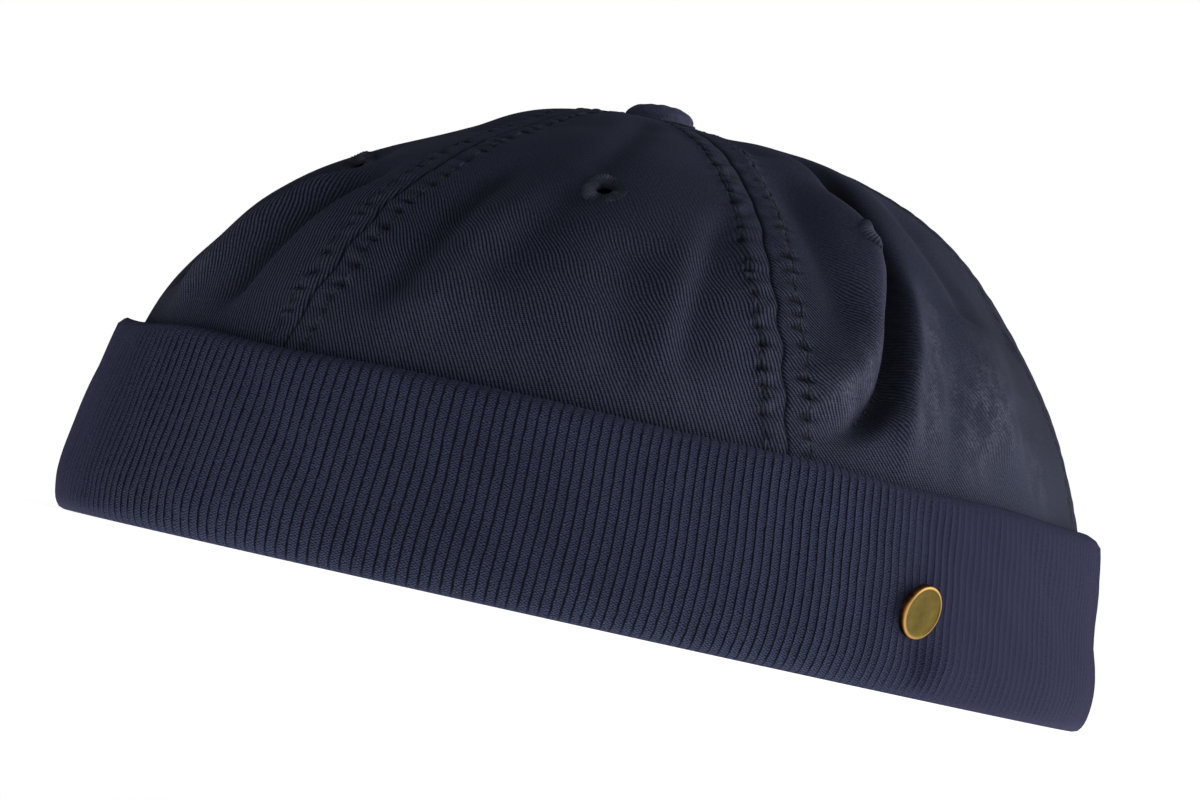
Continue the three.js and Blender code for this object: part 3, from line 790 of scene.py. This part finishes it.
cuff = {
    "halfWidth": 95, "halfDepth": 105, "startTurn": -163, "endTurn": 155, "ribs": 256,
    # how widely the knit is stretched along the turn: the ribs stand closest on the wearer's left
    "stretch": [(-163, 1.07), (-12, 1.1), (0, 1.08), (14, 1.02), (28, 0.94), (42, 0.85), (60, 0.79),
                (78, 0.8), (92, 0.9), (110, 1.05), (155, 1.07)],
    "ribDepth": 0.6,
    "ribPhases": [0, 0.07, 0.2, 0.5, 0.8, 0.93],  # where the columns of each rib stand
    "ribRound": 3.4, "endRounding": 0.9,
    "badgePull": 1.2,  # how much deeper the ribs are below the badge
    # between these turns the ribs fade out, stay flatter and come back, by this share
    "flatTurns": [(64, 90, 124, 150, 0.72), (-86, -64, -42, -12, 0.72)],
    "raised": (-54, 26, 0.9, 0.7),  # turn and spread where the lip is higher and rounder, by this much
    "waist": [(125, 19, 30, 7, 0.8)],  # soft spot of a slight hollow, with its height for a rise
    # up the outer face, over the lip, down inside, round the inner leaf and the fold:
    # inset from the rim's outline, height, share of the ribs' depth, rows up to the next line
    "section": [
        (2.4, 0, 0.45, 2), (0.9, 1, 0.8, 3), (0.15, 4, 1, 6), (0.1, 9, 1, 10),
        (1.7, 20, 1, 12), (4.1, 33, 0.95, 2), (4.7, 35.1, 0.6, 2), (6, 36.1, 0.4, 2),
        (7.2, 35.2, 0.3, 1), (7.4, 32.5, 0, 2), (5.4, 24, 0, 1), (3.5, 12, 0, 1),
        (3.4, 4.2, 0, 1), (4.2, 3.2, 0, 1), (5.9, 3.2, 0, 1), (6.6, 4.4, 0, 1),
        (6.7, 8.4, 0.2, 2), (7.9, 9.5, 0.5, 2), (9.1, 8.4, 0.8, 3), (9.2, 3.4, 1, 2),
        (8.4, 1, 0.8, 2), (6.9, 0, 0.5, 3),
    ],
}
badge = {"turn": 77, "height": 15, "tilt": 18.5, "swing": 9, "radius": 5, "thickness": 1.5, "gap": 0.6,
         "segments": 96, "bevel": 0.55}
knit = {
    # deep is the painted shade in the rib grooves
    "deep": shade(5, 6, 16), "dark": shade(14, 17, 31), "light": shade(81, 88, 116),
    "smooth": shade(27, 22, 46),  # where the ribs are stretched flat
    "stitch": 0.48,  # one stitch along a rib
    "depth": 0.14,
}


def makeKnit():
    n = Nodes("rib_knit")
    uv = n.cloth()  # U counts the ribs, V is in mm
    ribs, along, _ = n.parts(uv)
    stray = n.noise(n.stretched(uv, (1.2, 0.55, 1)), 1, 3, 0.6)
    ribAt = n.plus(ribs, n.around(stray, 0.3))
    aside = n.times(n.maths("ABSOLUTE", n.plus(n.maths("FRACT", ribAt), -0.5)), 2)
    # each rib's stitches start at their own height, so they make no rows across the ribs
    start = n.add("TexWhiteNoise", {"noise_dimensions": "1D"}, W=n.maths("FLOOR", ribAt)).outputs["Value"]
    loops = n.plus(n.times(along, 1 / knit["stitch"]), start, n.around(n.noise(uv, 0.8, 2), 1.2))
    # three columns of small loops, the middle one half a stitch lower
    middle = n.maths("COSINE", n.times(aside, circle))
    legs = n.maths("MULTIPLY_ADD", n.times(middle, n.maths("SINE", n.times(loops, circle))), 0.5, 0.5)
    specks = n.noise(n.stretched(uv, (2.2, 1, 1)), 2.7, 2, 0.7)
    cloud = n.noise(n.place(), 18, 3, 0.55)
    loopTone = n.times(n.around(legs, 1), n.maths("POWER", n.mark("ribbed"), 0.4))
    tone = n.plus(loopTone, 0.42, n.around(specks, 1.8), n.around(cloud, 0.3))
    colour = n.mix(n.ramp(tone), knit["dark"], knit["light"])
    # painted shade: the rib grooves are darkened towards the deep colour
    groove = n.times(n.ramp(aside, 0.7, 0.88), n.mark("ribbed"))
    colour = n.mix(n.times(groove, 0.95), colour, knit["deep"])
    colour = n.mix(n.ramp(n.mark("ribbed"), 0.1, 1, 0.6, 0), colour, knit["smooth"])
    height = n.plus(n.times(legs, 0.4), n.times(specks, 0.7), n.times(groove, -1.2))
    return n.surface(colour, n.bump(height, knit["depth"]), Roughness=0.92, Specular_IOR_Level=0.12,
                     Sheen_Weight=0.14, Sheen_Roughness=0.6, Sheen_Tint=shade(150, 152, 205))


def rimAt(turn, inset, height):
    return ovalAt(turn, cuff["halfWidth"] - inset, cuff["halfDepth"] - inset, height) + shiftBack


def cuffRows():
    # the section's smooth rows, the length along them and the way out of the cloth
    stations = np.array([line[:3] for line in cuff["section"]])
    looped = np.vstack([stations[-1], stations, stations[:2]])
    rows = [splineSpan(*looped[k:k + 4], step / line[3])
            for k, line in enumerate(cuff["section"]) for step in range(line[3])]
    rows = np.array(rows + rows[:1])
    length = np.concatenate([[0], np.cumsum(np.hypot(*np.diff(rows[:, :2], axis=0).T))])
    tangent = np.roll(rows[:-1, :2], -1, axis=0) - np.roll(rows[:-1, :2], 1, axis=0)
    tangent = np.vstack([tangent, tangent[:1]])
    outward = np.stack([-tangent[:, 1], tangent[:, 0]], axis=-1)
    return rows, length, outward / np.linalg.norm(outward, axis=1, keepdims=True)


def ribTurn(ribAt):
    # where each rib stands in the stretched knit
    turns = np.linspace(cuff["startTurn"], cuff["endTurn"], 400)
    stretch = np.interp(turns, *np.array(cuff["stretch"]).T)
    count = np.concatenate([[0], np.cumsum(2 / (stretch[1:] + stretch[:-1]))])
    return np.interp(ribAt, count * cuff["ribs"] / count[-1], turns)


def fullRibs(turn):
    # 1 where the ribs stand full, less where they are flat
    full = 1
    for fadeOut, flatFrom, flatTo, fadeIn, share in cuff["flatTurns"]:
        full = full - share * smoothStep(turn, fadeOut, flatFrom) * (1 - smoothStep(turn, flatTo, fadeIn))
    return full


def grooveDepth(ribAt, turn, height):
    # how far the cloth lies in between the crests of the ribs
    valley = np.abs(2 * (ribAt % 1) - 1) ** cuff["ribRound"]
    belowBadge = bell(wrap(turn - badge["turn"] - 2), 2.6) * bell(height - 5, 5)
    uneven = 0.84 + 0.16 * ripple(ribAt, 31, 9)
    return cuff["ribDepth"] * (1 + cuff["badgePull"] * belowBadge) * uneven * valley


def badgeDent(turn, height):
    # the knit gives way where the leaning badge presses
    aside = np.radians(wrap(turn - badge["turn"])) * cuff["halfWidth"]
    above = height - badge["height"]
    press = aside * math.sin(math.radians(badge["swing"])) - above * math.sin(math.radians(badge["tilt"]))
    return np.clip(press - 0.2, 0, None) * bell(np.hypot(aside, above), 5.5)


def cuffPlace():
    rows, length, outward = cuffRows()
    phases = cuff["ribPhases"]
    columns = cuff["ribs"] * len(phases)

    def place(across, up):
        row = np.rint(up * (len(rows) - 1)).astype(int)
        column = np.rint(across * columns).astype(int)
        ribAt = column // len(phases) + np.array(phases)[column % len(phases)]
        inset, height, ribShare = rows[row].T
        turn = ribTurn(ribAt)
        full = fullRibs(turn)
        fromEnd = np.clip(1 - np.minimum(column, columns - column) / 4, 0, 1)
        depth = ribShare * full * grooveDepth(ribAt, turn, height) + cuff["endRounding"] * fromEnd ** 2
        # low waves of the knit, in and out and along the lip, and ribs that lean where they fold
        onFace = smoothStep(height, 0, 6) * (inset < 6.2)
        wave = 0.35 * ripple(turn, 3, 95) + 0.18 * ripple(turn + 0.8 * height, 5, 23)
        sideways = 0.16 * ripple(height + 0.1 * turn, 9, 70) * onFace
        nearFold = np.clip(1 - height / 7, 0, 1) ** 2 * (0.5 + 0.5 * ripple(turn, 21, 70)) * (inset < 5)
        lift = 0.35 * ripple(turn, 41, 60) * smoothStep(height, 26, 36) * (inset < 8)
        highTurn, highSpread, higher, rounder = cuff["raised"]
        raised = bell(wrap(turn - highTurn), highSpread) * smoothStep(height, 22, 36) * (inset < 8)
        lift = lift + higher * raised
        inset = inset + rounder * raised * (1 - smoothStep(inset, 5.5, 7))
        pressed = badgeDent(turn, height) + sum(softSpots(turn, height, cuff["waist"]))
        inset = inset + outward[row, 0] * depth + (pressed - wave) * onFace
        height = np.maximum(height - outward[row, 1] * depth + lift, 0)
        point = rimAt(turn + sideways - 0.45 * nearFold, inset, height)
        uv = np.stack([ribAt, length[row]], axis=-1)
        return point, uv, {"ribbed": np.clip(ribShare * 1.2, 0, 1) * full ** 1.5}

    return columns, len(rows) - 1, place


def makeCuff():
    mesh = gridMesh("knit_cuff", *cuffPlace())

    def close(bm):
        bmesh.ops.remove_doubles(bm, verts=bm.verts, dist=0.002 * mm)
        bmesh.ops.holes_fill(bm, edges=[e for e in bm.edges if e.is_boundary], sides=0)

    editMesh(mesh, close)
    piece = makePiece(mesh, makeKnit(), "rib_knit", "rib_cuff")


makeCuff()

brass = {
    # bevel is a painted highlight round the badge's rounded edge
    "face": shade(84, 71, 26), "faceLight": shade(112, 96, 40), "bevel": shade(196, 154, 88),
    "edge": shade(150, 100, 48), "edgeDark": shade(78, 44, 16),
}


def makeBrass():
    n = Nodes("aged_brass")
    away = n.length(n.cloth())
    stain = n.noise(n.place(), 420, 4, 0.6)
    scratch = n.noise(n.place(), 2600, 3)
    face = n.mix(n.ramp(stain, 0.3, 0.7), brass["face"], brass["faceLight"])
    edge = n.mix(n.ramp(stain, 0.35, 0.65), brass["edgeDark"], brass["edge"])
    # painted highlight on the bevel, with the brown side beyond it
    rim = n.mix(n.ramp(away, badge["radius"] - 0.25, badge["radius"] - 0.05), brass["bevel"], edge)
    inner = badge["radius"] - badge["bevel"]
    colour = n.mix(n.ramp(away, inner - 0.1, inner + 0.1), face, rim)
    roughness = n.plus(0.3, n.times(stain, 0.2))
    return n.surface(colour, n.bump(scratch, 0.03, 0.25), Roughness=roughness, Metallic=1)


def badgeFrame():
    # on the cuff's outer face, its Z standing out of the knit and its Y upright before it leans
    turns = badge["turn"] + np.array([0, -3, 3, 0, 0])
    heights = badge["height"] + np.array([0, 0, 0, -3, 3])
    outer = cuff["section"][1:6]
    insets = np.interp(heights, [line[1] for line in outer], [line[0] for line in outer])
    middle, before, after, low, high = rimAt(turns, insets, heights)
    normal = Vector(np.cross(after - before, high - low)).normalized()
    side = Vector((0, 0, 1)).cross(normal).normalized()
    clear = Matrix.Translation((0, 0, badge["gap"] * mm))
    tilt = Matrix.Rotation(math.radians(badge["tilt"]), 4, "X")
    swing = Matrix.Rotation(math.radians(badge["swing"]), 4, "Y")
    return frameOf(Vector(middle) * mm, side, normal.cross(side), normal) @ clear @ tilt @ swing


def makeBadge():
    # a thick disc with a rounded edge and a fine step round its bare face
    radius, thick, bevel = badge["radius"], badge["thickness"], badge["bevel"]
    profile = [(0, 0), (radius - 0.3, 0), (radius, 0.3), (radius, thick - bevel)]
    for k in range(1, 7):
        angle = math.pi / 2 * k / 6
        profile.append((radius - bevel + bevel * math.cos(angle), thick - bevel + bevel * math.sin(angle)))
    profile += [(radius - bevel - 0.12, thick - 0.01), (radius - bevel - 0.2, thick - 0.09),
                (radius - bevel - 0.32, thick - 0.11), (radius * 0.5, thick - 0.08), (0, thick - 0.05)]
    mesh = spunMesh("brass_badge", profile, badge["segments"])
    moveMesh(mesh, badgeFrame())
    makePiece(mesh, makeBrass(), "badge_metal", "badge")


makeBadge()

sweatband = {"low": 10, "high": 31, "cloth": 1, "columns": 260, "rows": 14, "lines": 0}
backBand = {"low": 3.5, "high": 28, "cloth": 1.2, "columns": 90, "rows": 26, "lines": 0.9, "endGap": 0.4}
lining = {"dark": shade(9, 10, 13), "light": shade(26, 28, 34)}


def makeLining():
    n = Nodes("lining")
    threads = n.noise(n.stretched(n.cloth(), (1, 2.2, 1)), 1.6, 3, 0.6)
    colour = n.mix(threads, lining["dark"], lining["light"])
    return n.surface(colour, n.bump(threads, 0.12, 0.7), Roughness=0.9, Specular_IOR_Level=0.2)


def bandPlace(band, startTurn, endTurn):
    # a band inside the crown, soft along its middle and rounded at its edges
    def place(across, up):
        height = band["low"] + (band["high"] - band["low"]) * up
        turn = startTurn + (endTurn - startTurn) * across
        climb = (height - crown["hemHeight"]) / crown["height"]
        narrower = np.cos(np.arcsin(climb ** (crown["roundness"] / 2)))
        edge = np.minimum(up, 1 - up) * (band["high"] - band["low"])
        soft = 0.18 * ripple(turn, 51, 40) * np.clip(edge / 4, 0, 1)
        inset = crown["cloth"] + 0.75 + soft + 0.35 * np.exp(-edge / 0.8)
        point = ovalAt(turn, crown["halfWidth"] * narrower - inset, crown["halfDepth"] * narrower - inset,
                       height + 0.15 * ripple(turn, 53, 18)) + shiftBack
        uv = np.stack([np.radians(turn) * crown["halfDepth"], height], axis=-1)
        return point, uv, {"lines": np.full_like(turn, band["lines"])}

    return place


def makeBand(name, band, startTurn, endTurn, material, slot, node):
    mesh = gridMesh(name, band["columns"], band["rows"], bandPlace(band, startTurn, endTurn))
    piece = makePiece(mesh, material, slot, node, thickness=band["cloth"] * 0.85)


makeBand("lining_band", sweatband, cuff["startTurn"], cuff["endTurn"], makeLining(), "lining", "sweatband")
makeBand("gap_band", backBand, cuff["endTurn"] + backBand["endGap"],
         360 + cuff["startTurn"] - backBand["endGap"], bandTwill, "twill", "back_band")

look = {
    "azimuth": 38.5, "roll": 12.5, "distance": 0.946, "lens": 150.9, "targetHeight": 0.045,
    "cameraHeight": 0.009,  # low, but above the floor
    "aimRight": -0.0033, "aimUp": -0.0026, "floorGlow": 0.9,
    "floorShade": (0.094, 0.1),  # the floor inside the rim gives no light of its own
    "rimOval": (1.07, 1, 1),  # and the rim is narrower than it is deep
    "floorFade": (0.25, 0.9), "world": ((0.9, 0.94, 1, 1), 0.1),
    # turn from the camera, elevation, distance, size, watts, colour
    "lights": {
        "key": (93, 10, 1.3, 1.3, 14, (1, 0.97, 1)),
        "front": (-4, 5, 1.6, 0.9, 2.5, (0.94, 0.97, 1)),
        "top": (30, 70, 1.5, 0.6, 0.6, (1, 1, 1)),
    },
}


def stagePiece(name, bm, material):
    piece = addObject(name, finishMesh(bm, name))
    piece.data.materials.append(material)
    return piece


def makeFloor():
    bm = bmesh.new()
    bmesh.ops.create_circle(bm, cap_ends=True, segments=128, radius=4)
    n = Nodes("pale_floor")
    paper = n.add("BsdfDiffuse", Color=(0.9, 0.9, 0.9, 1))
    away = n.length(n.stretched(n.place(), look["rimOval"]))
    glow = n.add("Emission", Color=(1, 1, 1, 1),
                 Strength=n.ramp(away, *look["floorShade"], 0, look["floorGlow"]))
    lit = n.add("AddShader", n0=paper.outputs[0], n1=glow.outputs[0])
    clear = n.add("BsdfTransparent")
    fade = n.ramp(n.length(n.place()), *look["floorFade"])
    faded = n.add("MixShader", n0=fade, n1=lit.outputs[0], n2=clear.outputs[0])
    stagePiece("floor", bm, n.finish(faded))


def makeBackdrop():
    bm = bmesh.new()
    bmesh.ops.create_icosphere(bm, subdivisions=4, radius=9)
    n = Nodes("white_backdrop")
    white = n.add("Emission", Color=(1, 1, 1, 1), Strength=1)
    backdrop = stagePiece("backdrop", bm, n.finish(white))
    for ray in ("diffuse", "glossy", "transmission", "shadow", "volume_scatter"):
        setattr(backdrop, f"visible_{ray}", False)


def makeLight(name, turn, elevation, distance, size, power, colour):
    light = bpy.data.lights.new(name, "AREA")
    light.size = size
    light.energy = power
    light.color = colour
    lamp = addObject(name, light)
    heading = toward(look["azimuth"] + turn, elevation)
    lamp.location = heading * distance + Vector((0, 0, look["targetHeight"]))
    lamp.rotation_euler = heading.to_track_quat("Z", "Y").to_euler()


def makeCamera():
    drop = (look["cameraHeight"] - look["targetHeight"]) / look["distance"]
    back = toward(look["azimuth"], math.degrees(math.asin(drop)))
    right = Vector((0, 0, 1)).cross(back).normalized()
    up = back.cross(right)
    roll = math.radians(look["roll"])
    rolledRight = right * math.cos(roll) + up * math.sin(roll)
    rolledUp = up * math.cos(roll) - right * math.sin(roll)
    place = Vector((0, 0, look["targetHeight"])) + back * look["distance"]
    place += rolledRight * look["aimRight"] + rolledUp * look["aimUp"]
    data = bpy.data.cameras.new("camera")
    data.lens = look["lens"]
    data.sensor_width = 36
    camera = addObject("camera", data)
    camera.matrix_world = frameOf(place, rolledRight, rolledUp, back)
    bpy.context.scene.camera = camera


makeFloor()
makeBackdrop()
for lightName, setting in look["lights"].items():
    makeLight(lightName, *setting)
makeCamera()
world = bpy.data.worlds.new("studio")
bpy.context.scene.world = world
world.use_nodes = True
for socket, value in zip(world.node_tree.nodes["Background"].inputs, look["world"]):
    socket.default_value = value
bpy.context.scene.view_settings.view_transform = "Standard"
print("studio ready")
